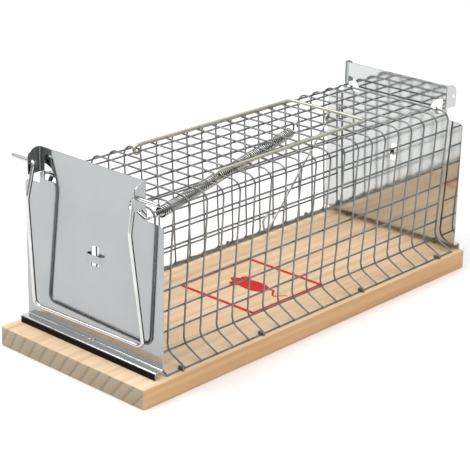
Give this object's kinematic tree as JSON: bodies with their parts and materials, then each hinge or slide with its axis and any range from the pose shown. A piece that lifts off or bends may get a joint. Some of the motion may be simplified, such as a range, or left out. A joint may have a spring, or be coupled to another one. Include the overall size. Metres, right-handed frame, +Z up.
{
  "type": "live catch trap",
  "caption": "Welded wire cage on a pine board with stamped zinc end plates, a hinged door with a swinging bail, a long set lever, a bait hook and a closing spring",
  "frame": {"origin": "bottom centre of the bounding box, on the underside of the board", "axes": "+X to the right seen from the door, +Y from the door to the rear plate, +Z up"},
  "size_m": [0.1152, 0.2868, 0.1175],
  "materials": {
    "pine": "sawn",
    "mesh": "dull zinc",
    "zinc_sheet": "bright zinc",
    "plated_wire": "plated wire",
    "spring_steel": "dark spring wire",
    "fixings": "plain"
  },
  "bodies": {
    "cage": {"base_board": "pine", "mesh_top": "mesh", "mesh_corner_left": "mesh", "mesh_corner_right": "mesh", "mesh_side_left": "mesh", "mesh_side_right": "mesh", "mesh_bend_left": "mesh", "mesh_bend_right": "mesh", "mesh_flare_left": "mesh", "mesh_flare_right": "mesh", "staples_left": "fixings", "staples_right": "fixings", "rear_panel": "zinc_sheet", "rear_lip": "zinc_sheet", "rear_ear_left": "zinc_sheet", "rear_ear_right": "zinc_sheet", "rear_knuckles": "zinc_sheet", "rear_nails": "fixings", "closing_spring": "spring_steel"},
    "door": {"door_panel": "zinc_sheet", "door_lip": "zinc_sheet", "door_tab": "zinc_sheet", "door_ear_left": "zinc_sheet", "door_ear_right": "zinc_sheet", "door_knuckles": "zinc_sheet"},
    "bail": {"bail": "plated_wire"},
    "set_lever": {"set_lever": "plated_wire"},
    "bait_hook": {"bait_hook": "plated_wire"}
  },
  "joints": [
    {"name": "door_swing", "type": "hinge", "parent": "cage", "child": "door", "pos_m": [0, -0.12245, 0.102], "axis": [-1, 0, 0], "range_deg": [0, 85], "stiffness_Nm_per_rad": 0.02, "springref_deg": -17.19, "deforming": ["closing_spring"]},
    {"name": "bail_swing", "type": "hinge", "parent": "door", "child": "bail", "pos_m": [0, -0.13175, 0.11], "axis": [-1, 0, 0], "range_deg": [0, 188]},
    {"name": "lever_swing", "type": "hinge", "parent": "cage", "child": "set_lever", "pos_m": [0, -0.05895, 0.102], "axis": [1, 0, 0], "range_deg": [0, 100]},
    {"name": "hook_swing", "type": "hinge", "parent": "cage", "child": "bait_hook", "pos_m": [0, 0.06805, 0.102], "axis": [-1, 0, 0], "range_deg": [0, 15]}
  ]
}
